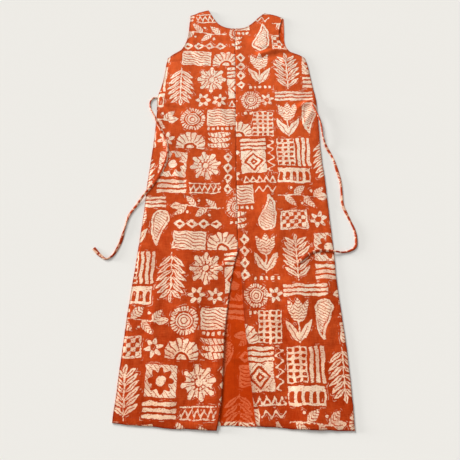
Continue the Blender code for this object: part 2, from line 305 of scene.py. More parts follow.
def lattice(u, v, width, height):
    """A block pierced with two or three columns of squares."""
    columns = max(2, round(width / 17))
    rows = max(2, round(height / 15))
    wide, tall = width / columns, height / rows
    a = abs((u + width / 2) % wide - wide / 2) - wide * 0.31
    b = abs((v + height / 2) % tall - tall / 2) - tall * 0.30
    return shape(np.minimum(block(u, v, width, height), np.maximum(a, b)))


# Where each block is printed in the repeat: its middle, its size and its turn in degrees
CHART = (
    (fern, 47, 75, 86, 142, 2),
    (star, 143, 103, 86, 84, -2),
    (bars, 143, 29, 90, 44, 0),
    (daisy, 245, 99, 98, 98, 10),
    (zigzag, 245, 23, 98, 35, 1),
    (diamonds, 315, 75, 30, 142, 0),
    (tulip, 377, 86, 78, 118, 0),
    (dashes, 377, 12, 80, 10, 0),
    (sprig, 78, 264, 150, 74, 0),
    (checks, 44, 189, 82, 60, 2),
    (bloom, 118, 189, 54, 54, 15),
    (fan, 196, 188, 92, 58, -2),
    (sun, 199, 263, 80, 80, 0),
    (scribble, 296, 270, 100, 60, 2),
    (dashes, 296, 229, 102, 10, 0),
    (pods, 285, 189, 74, 58, 0),
    (paisley, 382, 215, 62, 116, 4),
    (squiggle, 383, 288, 66, 22, 0),
    (arches, 53, 333, 100, 50, -1),
    (lattice, 31, 413, 56, 94, 0),
    (bars, 86, 413, 96, 42, 90),
    (fern, 156, 385, 88, 146, 180),
    (bloom, 231, 335, 52, 52, 0),
    (bloom, 284, 333, 48, 48, 25),
    (daisy, 256, 413, 98, 98, 0),
    (triangles, 366, 322, 102, 26, 0),
    (nested, 349, 381, 78, 76, 3),
    (bars, 349, 442, 80, 38, 2),
    (squiggle, 404, 402, 112, 24, 90),
    (tulip, 42, 531, 80, 124, 0),
    (bars, 66, 617, 126, 34, 0),
    (paisley, 118, 533, 58, 116, 184),
    (scribble, 204, 497, 96, 56, -2),
    (diamonds, 228, 547, 30, 146, 90),
    (sprig, 222, 602, 160, 68, 180),
    (fan, 302, 497, 88, 56, 2),
    (lattice, 382, 515, 66, 90, -1),
    (sun, 346, 602, 68, 68, 0),
    (bloom, 398, 604, 46, 46, 10),
    (dashes, 335, 553, 30, 9, 0),
)
BLOCK_MARGIN = 9


def waves(x, y, size, seed):
    """A smooth random height from -1 to 1, with bumps of about that size."""
    random = np.random.default_rng(seed)
    total = np.zeros(np.shape(x))
    for _ in range(9):
        heading = random.uniform(0, math.pi)
        pace = 2 * math.pi / (size * random.uniform(0.7, 1.5))
        total += np.sin((x * math.cos(heading) + y * math.sin(heading)) * pace + random.uniform(0, 7))
    return total / 4.5


def store(sheet, name, values):
    """Keeps a number for each point of a sheet, under a name that a material can read."""
    sheet.data.attributes.new(name, "FLOAT", "POINT").data.foreach_set("value", np.ravel(values))


def print_on(sheet, x, y, shift, turn=0):
    """Gives a sheet's points their ink, line and cut. x and y are metres on the uncut cloth."""
    across = x * 1000 * math.cos(turn) - y * 1000 * math.sin(turn) + shift[0]
    up = x * 1000 * math.sin(turn) + y * 1000 * math.cos(turn) + shift[1]
    across = across + 2.0 * waves(x, y, 0.040, 3) + 0.8 * waves(x, y, 0.014, 4)
    up = up + 2.0 * waves(x, y, 0.037, 5) + 0.8 * waves(x, y, 0.013, 6)
    printed = {"ink": -float(BLOCK_MARGIN), "line": 0.5, "cut": UNCARVED}
    printed = {name: np.full(len(x), value) for name, value in printed.items()}
    for motif, middle_u, middle_v, width, height, degrees in CHART:
        u = (across - middle_u + REPEAT_WIDTH / 2) % REPEAT_WIDTH - REPEAT_WIDTH / 2
        v = (up - middle_v + REPEAT_HEIGHT / 2) % REPEAT_HEIGHT - REPEAT_HEIGHT / 2
        angle = math.radians(degrees)
        u, v = u * math.cos(angle) + v * math.sin(angle), v * math.cos(angle) - u * math.sin(angle)
        near = (abs(u) < width / 2 + BLOCK_MARGIN) & (abs(v) < height / 2 + BLOCK_MARGIN)
        where = np.flatnonzero(near)
        if not len(where):
            continue
        carved = motif(u[where], v[where], width, height)
        wins = carved[0] > printed["ink"][where]
        for values, new in zip(printed.values(), carved):
            values[where[wins]] = new[wins]
    for name, values in printed.items():
        store(sheet, name, values)


# The cloth's dye and weave
#
# A firm plain-woven cotton, slightly slubbed. The rust ground is flat and matt with a little
# uneven dye, and the cream has flecks where the block printed thinly. Ground and cream are both
# painted lighter towards the shoulders and darker towards the hem: painted light and shade,
# standing in for a light that is brighter at the top of the dress.


def node(tree, kind, into=None, **settings):
    """Adds a shader node. Keys of into are input names or numbers, each with a value or a socket."""
    made = tree.nodes.new("ShaderNode" + kind)
    for key, value in settings.items():
        setattr(made, key, value)
    for key, value in (into or {}).items():
        if isinstance(value, bpy.types.NodeSocket):
            tree.links.new(value, made.inputs[key])
        else:
            made.inputs[key].default_value = value
    return made


def maths(tree, operation, *values):
    """The result of one calculation on sockets or numbers."""
    return node(tree, "Math", dict(enumerate(values)), operation=operation).outputs[0]


def ramp(tree, value, low, high, start=0.0, end=1.0):
    """An even, clamped change from start to end while value goes from low to high."""
    into = {"Value": value, "From Min": low, "From Max": high, "To Min": start, "To Max": end}
    return node(tree, "MapRange", into).outputs[0]


def noise(tree, place, scale, detail=2.0):
    return node(tree, "TexNoise", {"Vector": place, "Scale": scale, "Detail": detail}).outputs["Fac"]


def blend(tree, share, first, second, way="MIX"):
    """A colour from first to second, as the share goes from 0 to 1."""
    into = {0: share, 6: first, 7: second}
    return node(tree, "Mix", into, data_type="RGBA", blend_type=way).outputs[2]


def attribute(tree, name):
    return node(tree, "Attribute", attribute_name=name).outputs["Fac"]


def stretched(tree, place, factors):
    """The same place with each axis scaled, for streaks along the threads."""
    return node(tree, "Mapping", {"Vector": place, "Scale": factors}).outputs[0]


def socket(tree, side, name, kind="NodeSocketFloat"):
    return tree.interface.new_socket(name=name, in_out=side, socket_type=kind)


# Noise scales are bumps per metre
block_print = tree = bpy.data.node_groups.new("block print", "ShaderNodeTree")
socket(tree, "INPUT", "Place", "NodeSocketVector")
for name in ("Ink", "Line", "Cut"):
    socket(tree, "INPUT", name)
socket(tree, "OUTPUT", "Mask")
source = tree.nodes.new("NodeGroupInput").outputs
place = source["Place"]
fine = noise(tree, place, 420.0)
broad = noise(tree, place, 110.0)
rough = maths(tree, "ADD", ramp(tree, fine, 0.3, 0.7, -0.7, 0.7), ramp(tree, broad, 0.3, 0.7, -0.6, 0.6))
edge = maths(tree, "ADD", source["Ink"], rough)
solid = ramp(tree, edge, -0.25, 0.35)
whole = maths(tree, "ROUND", source["Line"])
from_line = maths(tree, "ABSOLUTE", maths(tree, "SUBTRACT", source["Line"], whole))
wavering = maths(tree, "ADD", from_line, ramp(tree, fine, 0.3, 0.7, -0.05, 0.05))
uncut = ramp(tree, maths(tree, "SUBTRACT", wavering, source["Cut"]), -0.035, 0.035)
flecks = ramp(tree, noise(tree, place, 260.0, 3.0), 0.56, 0.72, 1.0, 0.40)
gouges = noise(tree, stretched(tree, place, (150.0, 330.0, 150.0)), 1.0, 3.0)
thin = maths(tree, "MULTIPLY", flecks, ramp(tree, gouges, 0.60, 0.64, 1.0, 0.12))
starved = ramp(tree, noise(tree, place, 13.0), 0.50, 0.64, 1.0, 0.74)
thin = maths(tree, "MULTIPLY", thin, starved)
printed = maths(tree, "MULTIPLY", maths(tree, "MULTIPLY", solid, uncut), thin)
off_band = maths(tree, "ABSOLUTE", maths(tree, "ADD", edge, 4.6))
chatter_band = ramp(tree, off_band, 0.5, 0.9, 1.0, 0.0)
chatter_here = ramp(tree, noise(tree, place, 46.0), 0.56, 0.62, 0.0, 0.55)
mask = maths(tree, "MAXIMUM", printed, maths(tree, "MULTIPLY", chatter_band, chatter_here))
tree.links.new(mask, tree.nodes.new("NodeGroupOutput").inputs["Mask"])

slub_weave = tree = bpy.data.node_groups.new("slub weave", "ShaderNodeTree")
socket(tree, "INPUT", "Place", "NodeSocketVector")
socket(tree, "OUTPUT", "Tone")
socket(tree, "OUTPUT", "Height")
place = tree.nodes.new("NodeGroupInput").outputs["Place"]
warp = noise(tree, stretched(tree, place, (1500.0, 60.0, 60.0)), 1.0)
weft = noise(tree, stretched(tree, place, (60.0, 1500.0, 60.0)), 1.0)
threads = maths(tree, "ADD", warp, weft)
cloudy = ramp(tree, noise(tree, place, 9.0, 3.0), 0.3, 0.7, -0.07, 0.07)
blotches = ramp(tree, noise(tree, place, 55.0, 3.0), 0.3, 0.7, -0.05, 0.05)
tone = maths(tree, "ADD", ramp(tree, threads, 0.75, 1.25, -0.10, 0.10), cloudy)
tone = maths(tree, "ADD", tone, blotches)
result = tree.nodes.new("NodeGroupOutput").inputs
tree.links.new(tone, result["Tone"])
tree.links.new(threads, result["Height"])


def colour(red, green, blue):
    """An sRGB colour of 0 to 255 as a linear one."""
    parts = [c / 255 for c in (red, green, blue)]
    return [c / 12.92 if c <= 0.04045 else ((c + 0.055) / 1.055) ** 2.4 for c in parts] + [1.0]


# Painted light and shade: the cloth's colour is lighter towards the shoulders and darker towards the hem
PAINTED_LIGHT_FALLOFF = 0.115
PAINTED_LIGHT_FALLOFF_REACH = 0.62
# Painted shade: a darker tint along the fronts' folded borders, standing in for the shade there
PAINTED_SHADE_TINT = colour(160, 128, 118)
PAINTED_SHADE_STRENGTH = 0.8


def dyed_cotton(name, ground, dark, cream, pale, strength):
    """Cotton whose ground varies from dark to ground, and its print from cream to pale."""
    cotton = bpy.data.materials.new(name)
    cotton.use_nodes = True
    tree = cotton.node_tree
    shader = tree.nodes["Principled BSDF"]
    place = node(tree, "TexCoord").outputs["Object"]
    weave = node(tree, "Group", {"Place": place}, node_tree=slub_weave).outputs
    stamped = {part: attribute(tree, part.lower()) for part in ("Ink", "Line", "Cut")}
    mask = node(tree, "Group", {"Place": place, **stamped}, node_tree=block_print).outputs["Mask"]
    height = node(tree, "SeparateXYZ", {"Vector": place}).outputs["Y"]
    # Painted light and shade by height: lighter up the dress, darker down it
    painted_falloff = ramp(tree, height, -PAINTED_LIGHT_FALLOFF_REACH, PAINTED_LIGHT_FALLOFF_REACH, -PAINTED_LIGHT_FALLOFF, PAINTED_LIGHT_FALLOFF)
    tone = ramp(tree, maths(tree, "ADD", weave["Tone"], painted_falloff), -0.20, 0.20)
    shown = maths(tree, "MULTIPLY", mask, strength)
    face = blend(tree, shown, blend(tree, tone, dark, ground), blend(tree, tone, cream, pale))
    # Painted shade along the folded borders, read from the fronts' attribute
    painted_edge_shade = maths(tree, "MULTIPLY", attribute(tree, "painted_edge_shade"), PAINTED_SHADE_STRENGTH)
    tree.links.new(blend(tree, painted_edge_shade, face, PAINTED_SHADE_TINT, "MULTIPLY"), shader.inputs["Base Color"])
    tree.links.new(ramp(tree, weave["Height"], 0.7, 1.3, 0.95, 0.82), shader.inputs["Roughness"])
    bump = node(tree, "Bump", {"Height": weave["Height"], "Strength": 0.35, "Distance": 0.0004})
    tree.links.new(bump.outputs[0], shader.inputs["Normal"])
    for setting, value in (("Specular IOR Level", 0.05), ("Sheen Weight", 0.02), ("Sheen Roughness", 0.5)):
        shader.inputs[setting].default_value = value
    return cotton


printed_side = dyed_cotton("printed cotton", colour(221, 94, 42), colour(164, 44, 1),
                           colour(243, 198, 161), colour(254, 244, 223), 1.0)
# A darker copy of the printed cotton for the straps: painted shade, standing in for the shade of their
# small folds
strap_cotton_painted_shade = dyed_cotton("printed cotton, straps, painted shade", colour(196, 76, 32), colour(140, 38, 6),
                         colour(222, 170, 138), colour(244, 212, 184), 0.88)
wrong_side = dyed_cotton("cotton, wrong side", colour(220, 76, 12), colour(184, 52, 2),
                         colour(222, 104, 60), colour(238, 128, 88), 0.88)

# Back panel
#
# One piece of the printed cotton from the shoulders to the hem, lying face down, so that its
# plain wrong side shows in the slit and in the right armhole. Its sides are seamed to the fronts.

MID_HEIGHT = 0.680
CLOTH = 0.0009
BORDER_CELLS = (0.0, 0.0008, 0.0018, 0.0032, 0.0052)
PANEL_WIDTH = 0.28
PANEL_LENGTH = 1.38
TURNED_LAYER = 0.0004
STITCH_INSET = 0.0015
EDGE_DROP = 0.0003


def skin_loop(name):
    """The border of a CAD panel's upper face, as points in order, in plan."""
    skin = bmesh.new()
    skin.from_mesh(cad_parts[name].data)
    bmesh.ops.remove_doubles(skin, verts=skin.verts, dist=0.00001)
    skin.normal_update()
    hidden = [face for face in skin.faces if face.normal.z < 0.5]
    bmesh.ops.delete(skin, geom=hidden, context="FACES")
    edge = next(e for e in skin.edges if e.is_boundary)
    first = vertex = edge.verts[0]
    loop = []
    while vertex is not first or not loop:
        loop.append((vertex.co.x, vertex.co.y))
        vertex = edge.other_vert(vertex)
        edge = next(e for e in vertex.link_edges if e.is_boundary and e is not edge)
    skin.free()
    return np.array(loop)


def length_of(line):
    return float(np.sum(np.hypot(*np.diff(line, axis=0).T)))


def stretch(loop, start, end):
    """The shorter way round the loop between its points nearest to start and end."""
    a = int(np.argmin(np.hypot(*(loop - start).T)))
    b = int(np.argmin(np.hypot(*(loop - end).T)))
    ahead = np.roll(loop, -a, axis=0)[: (b - a) % len(loop) + 1]
    back = np.roll(loop[::-1], a + 1, axis=0)[: (a - b) % len(loop) + 1]
    return ahead if length_of(ahead) < length_of(back) else back


def run_of(line):
    """How far along a line each of its points is."""
    return np.concatenate([[0], np.cumsum(np.hypot(*np.diff(line, axis=0).T))])


def read_line(line, places):
    """Points on a smooth curve through a line, at places from 0 to 1 of its length."""
    run = run_of(line)
    slopes = np.gradient(line, run, axis=0) if len(line) > 2 else np.diff(line, axis=0)[[0, 0]] / run[-1]
    at = np.clip(places, 0, 1) * run[-1]
    i = np.clip(np.searchsorted(run, at, side="right") - 1, 0, len(run) - 2)
    span = (run[i + 1] - run[i])[:, None]
    t = (at - run[i])[:, None] / span
    start = (1 + 2 * t) * (1 - t) ** 2 * line[i] + t * (1 - t) ** 2 * span * slopes[i]
    return start + t * t * (3 - 2 * t) * line[i + 1] + t * t * (t - 1) * span * slopes[i + 1]


def read_lines(lines, places):
    """The same along several lines that meet end to end, keeping the corners between them."""
    lengths = np.array([length_of(line) for line in lines])
    ends = np.concatenate([[0], np.cumsum(lengths)]) / lengths.sum()
    points = np.empty((len(places), 2))
    for k, line in enumerate(lines):
        here = (places >= ends[k] - 1e-9) & (places <= ends[k + 1] + 1e-9)
        points[here] = read_line(line, (places[here] - ends[k]) / (ends[k + 1] - ends[k]))
    return points


def cells(length, count):
    """Places from 0 to 1 along a length: even, with finer cells at both borders."""
    border = np.array(BORDER_CELLS) / length
    return np.concatenate([border, np.linspace(border[-1], 1 - border[-1], count)[1:-1], 1 - border[::-1]])


def patch(bottom, left, top, right, columns, rows):
    """A net of points between four border lines, each a list of lines that meet end to end."""
    s = cells(PANEL_WIDTH, columns)
    t = cells(PANEL_LENGTH, rows)
    low, high = read_lines(bottom, s), read_lines(top, s)
    west, east = read_lines(left, t), read_lines(right, t)
    s, t = s[None, :, None], t[:, None, None]
    corners = (1 - s) * (1 - t) * low[0] + s * (1 - t) * low[-1] + (1 - s) * t * high[0] + s * t * high[-1]
    return (1 - s) * west[:, None] + s * east[:, None] + (1 - t) * low[None] + t * high[None] - corners


def wander(net):
    """Moves a net's points a little in plan, as cloth laid by hand does."""
    x, y = net[..., 0], net[..., 1]
    across = 0.0009 * waves(x, y, 0.090, 51) + 0.0004 * waves(x, y, 0.028, 52)
    up = 0.0009 * waves(x, y, 0.080, 53) + 0.0004 * waves(x, y, 0.026, 54)
    return net + np.stack([across, up], axis=-1)


def away(net, lines):
    """How far each point of a net is from the nearest of the lines."""
    flat = net.reshape(-1, 2)
    nearest = np.full(len(flat), 9.0)
    for line in lines:
        for a, b in zip(line[:-1], line[1:]):
            run = b - a
            t = np.clip((flat - a) @ run / max(run @ run, 1e-12), 0, 1)
            nearest = np.minimum(nearest, np.hypot(*(flat - a - t[:, None] * run).T))
    return nearest.reshape(net.shape[:2])


def solid_top(name, net):
    """The height of a CAD panel's upper face under each point of a net."""
    tree = BVHTree.FromObject(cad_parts[name], bpy.context.evaluated_depsgraph_get())
    heights = []
    for x, y in net.reshape(-1, 2):
        hit = tree.ray_cast(Vector((x, y, 1)), Vector((0, 0, -1)))[0]
        heights.append((hit or tree.find_nearest(Vector((x, y, 0.004)))[0]).z)
    return np.reshape(heights, net.shape[:2])


Crease = namedtuple("Crease", "x1 h1 x2 h2 bow width rise lean", defaults=[1.0])


def creased(net, creases):
    """The heights of soft creases: a ridge or trough along a bowed line, with a fainter one beside it.

    The ridge is lean times as wide on the side away from the fainter one.
    """
    x, h = net[..., 0], net[..., 1] + MID_HEIGHT
    total = np.zeros(x.shape)
    for c in creases:
        run_x, run_h = c.x2 - c.x1, c.h2 - c.h1
        length = math.hypot(run_x, run_h)
        t = ((x - c.x1) * run_x + (h - c.h1) * run_h) / length**2
        arch = np.sin(math.pi * np.clip(t, 0, 1))
        side = ((x - c.x1) * run_h - (h - c.h1) * run_x) / length - c.bow * arch
        beyond = np.maximum(np.maximum(-t, t - 1), 0) * length
        fade = np.exp(-((beyond / (1.6 * c.width)) ** 2)) * (0.55 + 0.45 * arch)
        ridge = np.exp(-((side / np.where(side < 0, c.lean * c.width, c.width)) ** 2))
        fainter = 0.4 * np.exp(-(((side - 2.1 * c.width) / (1.2 * c.width)) ** 2))
        total += c.rise * (ridge - fainter) * fade
    return total


def rounded(distance, radius, drop):
    """How much a rolled border lies below the cloth beside it."""
    return drop * np.clip(1 - distance / radius, 0, 1) ** 2


def turned(distance, width):
    """A turned and stitched border: a double layer, pressed down along its stitches."""
    layer = TURNED_LAYER / (1 + np.exp((distance - width) / 0.0009))
    return layer - TURNED_LAYER * np.exp(-(((distance - width + STITCH_INSET) / 0.0019) ** 2))


def points_of(sheet):
    """All points of a sheet, as rows of x, y and z."""
    flat = np.empty(len(sheet.data.vertices) * 3)
    sheet.data.vertices.foreach_get("co", flat)
    return flat.reshape(-1, 3)


def sheet_from(name, net, heights):
    """A mesh grid shaped to a net of points and their heights."""
    rows, columns = net.shape[:2]
    bpy.ops.mesh.primitive_grid_add(x_subdivisions=columns - 1, y_subdivisions=rows - 1, size=1)
    sheet = bpy.context.object
    sheet.name = sheet.data.name = name
    points = points_of(sheet)
    column = np.rint((points[:, 0] + 0.5) * (columns - 1)).astype(int)
    row = np.rint((points[:, 1] + 0.5) * (rows - 1)).astype(int)
    points[:, :2] = net[row, column]
    points[:, 2] = heights[row, column]
    sheet.data.vertices.foreach_set("co", points.ravel())
    sheet.data.update()
    return sheet


def make_shell(sheet, upper, lower):
    """Gives a sheet its thickness, downwards, and a material for each side."""
    sheet.data.materials.append(upper)
    sheet.data.materials.append(lower)
    wall = sheet.modifiers.new("thickness", "SOLIDIFY")
    wall.thickness = CLOTH
    wall.offset = -1
    wall.material_offset = 1
    bpy.context.view_layer.objects.active = sheet
    bpy.ops.object.modifier_apply(modifier=wall.name)
    sheet.data.shade_smooth()
    sheet.select_set(False)


def at(x, height):
    return (x, height - MID_HEIGHT)


BACK_PRINT_SHIFT = (120.0, 400.0)
BACK_HEM_TURN = 0.0115
BACK_COLUMNS = 56
BACK_ROWS = 290
BACK_SINK = 0.0003
BACK_EDGE_ROLL = 0.0018
BACK_CENTRE = (at(0.0260, 0.0125), at(0.0325, 1.2480))
BACK_CREASES = [Crease(*row) for row in (
    (0.022, 0.452, 0.046, 0.438, 0.002, 0.005, 0.0012),
    (0.014, 0.420, 0.048, 0.404, -0.002, 0.006, 0.0016),
    (0.010, 0.385, 0.050, 0.372, 0.002, 0.007, 0.0011),
    (0.006, 0.330, 0.052, 0.318, 0.001, 0.008, 0.0013),
    (0.000, 0.190, 0.060, 0.182, 0.003, 0.006, 0.001),
    (0.028, 0.300, 0.020, 0.060, 0.004, 0.016, 0.001),
    (0.196, 1.310, 0.200, 1.240, 0.001, 0.005, 0.0008),
)]

# The corners of each half: at the hem, under the arm, and the shoulder's outer and inner ends
BACK_LEFT = (at(-0.2970, 0.0200), at(-0.2012, 1.1530), at(-0.1265, 1.3361), at(-0.0640, 1.3588))
BACK_RIGHT = (at(0.3390, 0.0010), at(0.2697, 1.1530), at(0.1994, 1.3240), at(0.1335, 1.3465))

back_loop = skin_loop("back")
back_hem = stretch(back_loop, BACK_LEFT[0], BACK_RIGHT[0])
back_neck = stretch(back_loop, BACK_LEFT[3], BACK_RIGHT[3])
back_left = [stretch(back_loop, BACK_LEFT[k], BACK_LEFT[k + 1]) for k in (0, 1)]
back_right = [stretch(back_loop, BACK_RIGHT[k], BACK_RIGHT[k + 1]) for k in (0, 1)]
shoulder_left = stretch(back_loop, BACK_LEFT[2], BACK_LEFT[3])
shoulder_right = stretch(back_loop, BACK_RIGHT[3], BACK_RIGHT[2])


def split_at(line, point):
    """A line in two, with the point as the end of the first and the start of the second."""
    onward = np.sign(line[-1, 0] - line[0, 0])
    k = int(np.searchsorted(onward * line[:, 0], onward * point[0]))
    return np.vstack([line[:k], [point]]), np.vstack([[point], line[k:]])


hem_halves = split_at(back_hem, BACK_CENTRE[0])
neck_halves = split_at(back_neck[1:-1], BACK_CENTRE[1])
neck_halves = (np.vstack([back_neck[:1], neck_halves[0]]), np.vstack([neck_halves[1], back_neck[-1:]]))
centre_line = np.linspace(BACK_CENTRE[0], BACK_CENTRE[1], 12)
left_net = patch([hem_halves[0]], back_left, [shoulder_left],
                 [centre_line, neck_halves[0][::-1]], BACK_COLUMNS, BACK_ROWS)
right_net = patch([hem_halves[1]], [centre_line, neck_halves[1]],
                  [shoulder_right], back_right, BACK_COLUMNS, BACK_ROWS)
back_halves = []
for net in (left_net, right_net):
    heights = solid_top("back", net) - BACK_SINK
    heights += 0.00016 * waves(net[..., 0], net[..., 1], 0.045, 21)
    heights += creased(net, BACK_CREASES)
    border = [*back_left, *back_right, back_hem, back_neck]
    heights -= rounded(away(net, border), BACK_EDGE_ROLL, EDGE_DROP)
    from_hem = away(net, [back_hem])
    heights += turned(from_hem, BACK_HEM_TURN)
    half = sheet_from("back_panel", wander(net), np.maximum(heights, CLOTH + 0.00005))
    store(half, "from_hem", from_hem)
    back_halves.append(half)
for half in back_halves:
    half.select_set(True)
bpy.context.view_layer.objects.active = back_halves[0]
bpy.ops.object.join()
back_panel = bpy.context.object
back_panel.name = "back_panel"
bpy.ops.object.mode_set(mode="EDIT")
bpy.ops.mesh.select_all(action="SELECT")
bpy.ops.mesh.remove_doubles(threshold=0.00002)
bpy.ops.object.mode_set(mode="OBJECT")
print_on(back_panel, *points_of(back_panel).T[:2], BACK_PRINT_SHIFT)
from_hem = back_panel.data.attributes["from_hem"].data
for face in back_panel.data.polygons:
    if max(from_hem[k].value for k in face.vertices) < BACK_HEM_TURN:
        face.material_index = 1
make_shell(back_panel, wrong_side, printed_side)
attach(back_panel, "root")
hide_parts("back")

# Front panels
#
# Two pieces of the printed cotton, seamed to each other down the centre as far as the slit and to
# the back at the sides and shoulders. Neck, armholes, slit and hem are turned under and stitched.

SIDE_ROLL = 0.0090
SIDE_DROP = 0.0028
HEM_ROLL = 0.0180
SEAM_ROLL = 0.0034
SEAM_DROP = 0.0016
EDGE_ROLL = 0.0020
ABOVE_BACK = 0.0026
HEM_TURN = 0.0200
SLIT_TURN = 0.0090
NECK_TURN = 0.0070
FRONT_COLUMNS = 94
FRONT_ROWS = 432
DART_LENGTH = 0.095
DART_TURN = 0.0030
DART_DEPTH = 0.0009
DART_WIDTH = 0.0022
# How far the painted shade reaches in from the folded borders
PAINTED_SHADE_REACH = 0.0028


def soften(heights, reach, rounds):
    """Averages a net of heights with its neighbours, to round off the solid's flat facets."""
    for _ in range(rounds):
        for axis in (0, 1):
            wide = np.pad(heights, [(reach, reach) if k == axis else (0, 0) for k in (0, 1)], mode="edge")
            sums = np.cumsum(np.insert(wide, 0, 0, axis=axis), axis=axis)
            size = 2 * reach + 1
            ends = np.take(sums, range(size, sums.shape[axis]), axis=axis)
            heights = (ends - np.take(sums, range(sums.shape[axis] - size), axis=axis)) / size
    return heights


def puckered(net, lines, axis, rise):
    """Small ripples across stitched lines that run along an axis, fading away from them."""
    pinched = net * ((0.15, 1.0) if axis else (1.0, 0.15))
    ripples = waves(pinched[..., 0], pinched[..., 1], 0.019, 61 + axis)
    return rise * ripples * np.exp(-away(net, lines) / 0.014)


Front = namedtuple("Front", "node side hem_out hem_in underarm shoulder_out shoulder_in "
                   "print_shift print_turn")
NECK_BASE = at(0.0298, 1.2803)
SLIT_TOP = at(0.0363, 0.4860)
FRONTS = (
    Front("front_left", -1, at(-0.2970, 0.0198), at(-0.0225, 0.0020), at(-0.2012, 1.1530),
          at(-0.1265, 1.3361), at(-0.0631, 1.3600), (310.0, 20.0), 0.012),
    Front("front_right", 1, at(0.3390, 0.0010), at(0.0810, 0.0120), at(0.2697, 1.1530),
          at(0.1960, 1.3265), at(0.1330, 1.3475), (262.0, 288.0), -0.010),
)
FRONT_CREASES = [Crease(*row) for row in (
    (-0.159, 0.798, -0.184, 0.847, -0.002, 0.008, 0.0054, 1.5),
    (-0.139, 0.692, -0.154, 0.764, -0.003, 0.006, 0.0018, 2.6),
    (-0.144, 0.671, -0.104, 0.660, 0.003, 0.005, 0.0014, 2.4),
    (-0.110, 0.716, -0.086, 0.650, 0.006, 0.012, 0.0012),
    (-0.216, 1.004, -0.150, 0.972, 0.004, 0.0065, 0.0018),
    (-0.214, 0.990, -0.168, 0.925, -0.004, 0.0075, 0.0018),
    (0.286, 0.998, 0.226, 0.958, 0.004, 0.007, 0.002),
    (0.286, 0.985, 0.246, 0.900, -0.004, 0.008, 0.0018),
    (0.096, 1.226, 0.168, 1.198, 0.004, 0.010, 0.0046),
    (0.112, 1.176, 0.198, 1.190, -0.004, 0.0095, 0.004),
    (0.186, 1.168, 0.216, 1.120, 0.003, 0.0085, 0.0024),
    (-0.118, 1.232, -0.080, 1.150, 0.005, 0.010, 0.0016),
    (0.130, 0.850, 0.142, 0.745, 0.003, 0.011, -0.001),
    (0.126, 0.700, 0.150, 0.560, 0.006, 0.015, 0.0008),
    (0.044, 0.478, 0.098, 0.436, 0.003, 0.0075, 0.0018),
    (0.028, 0.476, -0.018, 0.436, -0.003, 0.0075, 0.0018),
    (0.060, 0.420, 0.110, 0.350, 0.005, 0.010, 0.0012),
    (-0.020, 0.990, 0.010, 0.880, 0.005, 0.012, 0.0012),
    (0.200, 0.700, 0.262, 0.640, -0.005, 0.010, 0.0016),
    (-0.200, 0.560, -0.130, 0.520, 0.005, 0.011, 0.0013),
    (-0.180, 0.420, -0.205, 0.230, 0.006, 0.015, 0.0016),
    (-0.080, 0.360, -0.100, 0.120, -0.006, 0.017, 0.0016),
    (0.130, 0.380, 0.150, 0.130, 0.006, 0.016, 0.0016),
    (0.270, 0.500, 0.290, 0.240, -0.006, 0.014, 0.0016),
    (0.190, 0.200, 0.214, 0.030, 0.006, 0.018, 0.0006),
    (-0.014, 0.235, -0.024, 0.010, 0.002, 0.012, 0.0012),
)]

stitched = {}
front_sheets = {}
for front in FRONTS:
    loop = skin_loop(front.node)
    hem = stretch(loop, front.hem_out, front.hem_in)
    side_seam = stretch(loop, front.hem_out, front.underarm)
    armhole = stretch(loop, front.underarm, front.shoulder_out)
    shoulder = stretch(loop, front.shoulder_out, front.shoulder_in)
    slit = stretch(loop, front.hem_in, SLIT_TOP)
    seam = stretch(loop, SLIT_TOP, NECK_BASE)
    neck = stretch(loop, NECK_BASE, front.shoulder_in)
    outer, inner = [side_seam, armhole], [slit, seam, neck]
    if front.side < 0:
        net = patch([hem], outer, [shoulder], inner, FRONT_COLUMNS, FRONT_ROWS)
    else:
        net = patch([hem[::-1]], inner, [shoulder[::-1]], outer, FRONT_COLUMNS, FRONT_ROWS)
    heights = soften(solid_top(front.node, net), 4, 3)
    heights += creased(net, FRONT_CREASES)
    heights += 0.00085 * waves(net[..., 0], net[..., 1], 0.110, 31)
    heights += 0.00026 * waves(net[..., 0], net[..., 1], 0.030, 32)
    heights += puckered(net, [side_seam, seam, slit, armhole], 1, 0.00045)
    heights += puckered(net, [hem, neck, shoulder], 0, 0.00040)
    heights -= rounded(away(net, [side_seam, shoulder]), SIDE_ROLL, SIDE_DROP)
    heights -= rounded(away(net, [seam]), SEAM_ROLL, SEAM_DROP)
    heights -= rounded(away(net, [hem]), HEM_ROLL, SEAM_DROP)
    heights -= rounded(away(net, [hem, slit, neck, armhole]), EDGE_ROLL, EDGE_DROP)
    heights += turned(away(net, [hem]), HEM_TURN)
    heights += turned(away(net, [slit]), SLIT_TURN)
    heights += turned(away(net, [neck, armhole]), NECK_TURN)
    dart_start = Vector(front.underarm) + Vector((0.002 * front.side, -0.010))
    dart_end = dart_start + Vector((-front.side * DART_LENGTH, 0.012))
    dart = np.array([dart_start, dart_end])
    heights -= DART_DEPTH * np.exp(-((away(net, [dart]) / DART_WIDTH) ** 2))
    heights = np.maximum(heights, ABOVE_BACK)
    cloth = sheet_from(front.node + "_cloth", wander(net), heights)
    print_on(cloth, *points_of(cloth).T[:2], front.print_shift, front.print_turn)
    # Painted shade: the cloth is darkened along its folded borders, in place of the shade at its rolled
    # edges and to tone down their highlights
    from_shaded_border = away(net, [side_seam, armhole, shoulder, neck, slit, hem])
    store(cloth, "painted_edge_shade", np.exp(-((from_shaded_border / PAINTED_SHADE_REACH) ** 2)))
    make_shell(cloth, printed_side, wrong_side)
    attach(cloth, "root")
    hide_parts(front.node)
    stitched[front.node] = ((hem, HEM_TURN), (slit, SLIT_TURN), (neck, NECK_TURN), (armhole, NECK_TURN),
                            (dart, DART_TURN))
    front_sheets[front.node] = cloth

# Waist ties
#
# Straps of the same cotton, folded to about 11 mm and sewn into the side seams. Each lies
# loose, turned on its edge in places, and ends in a square cut.

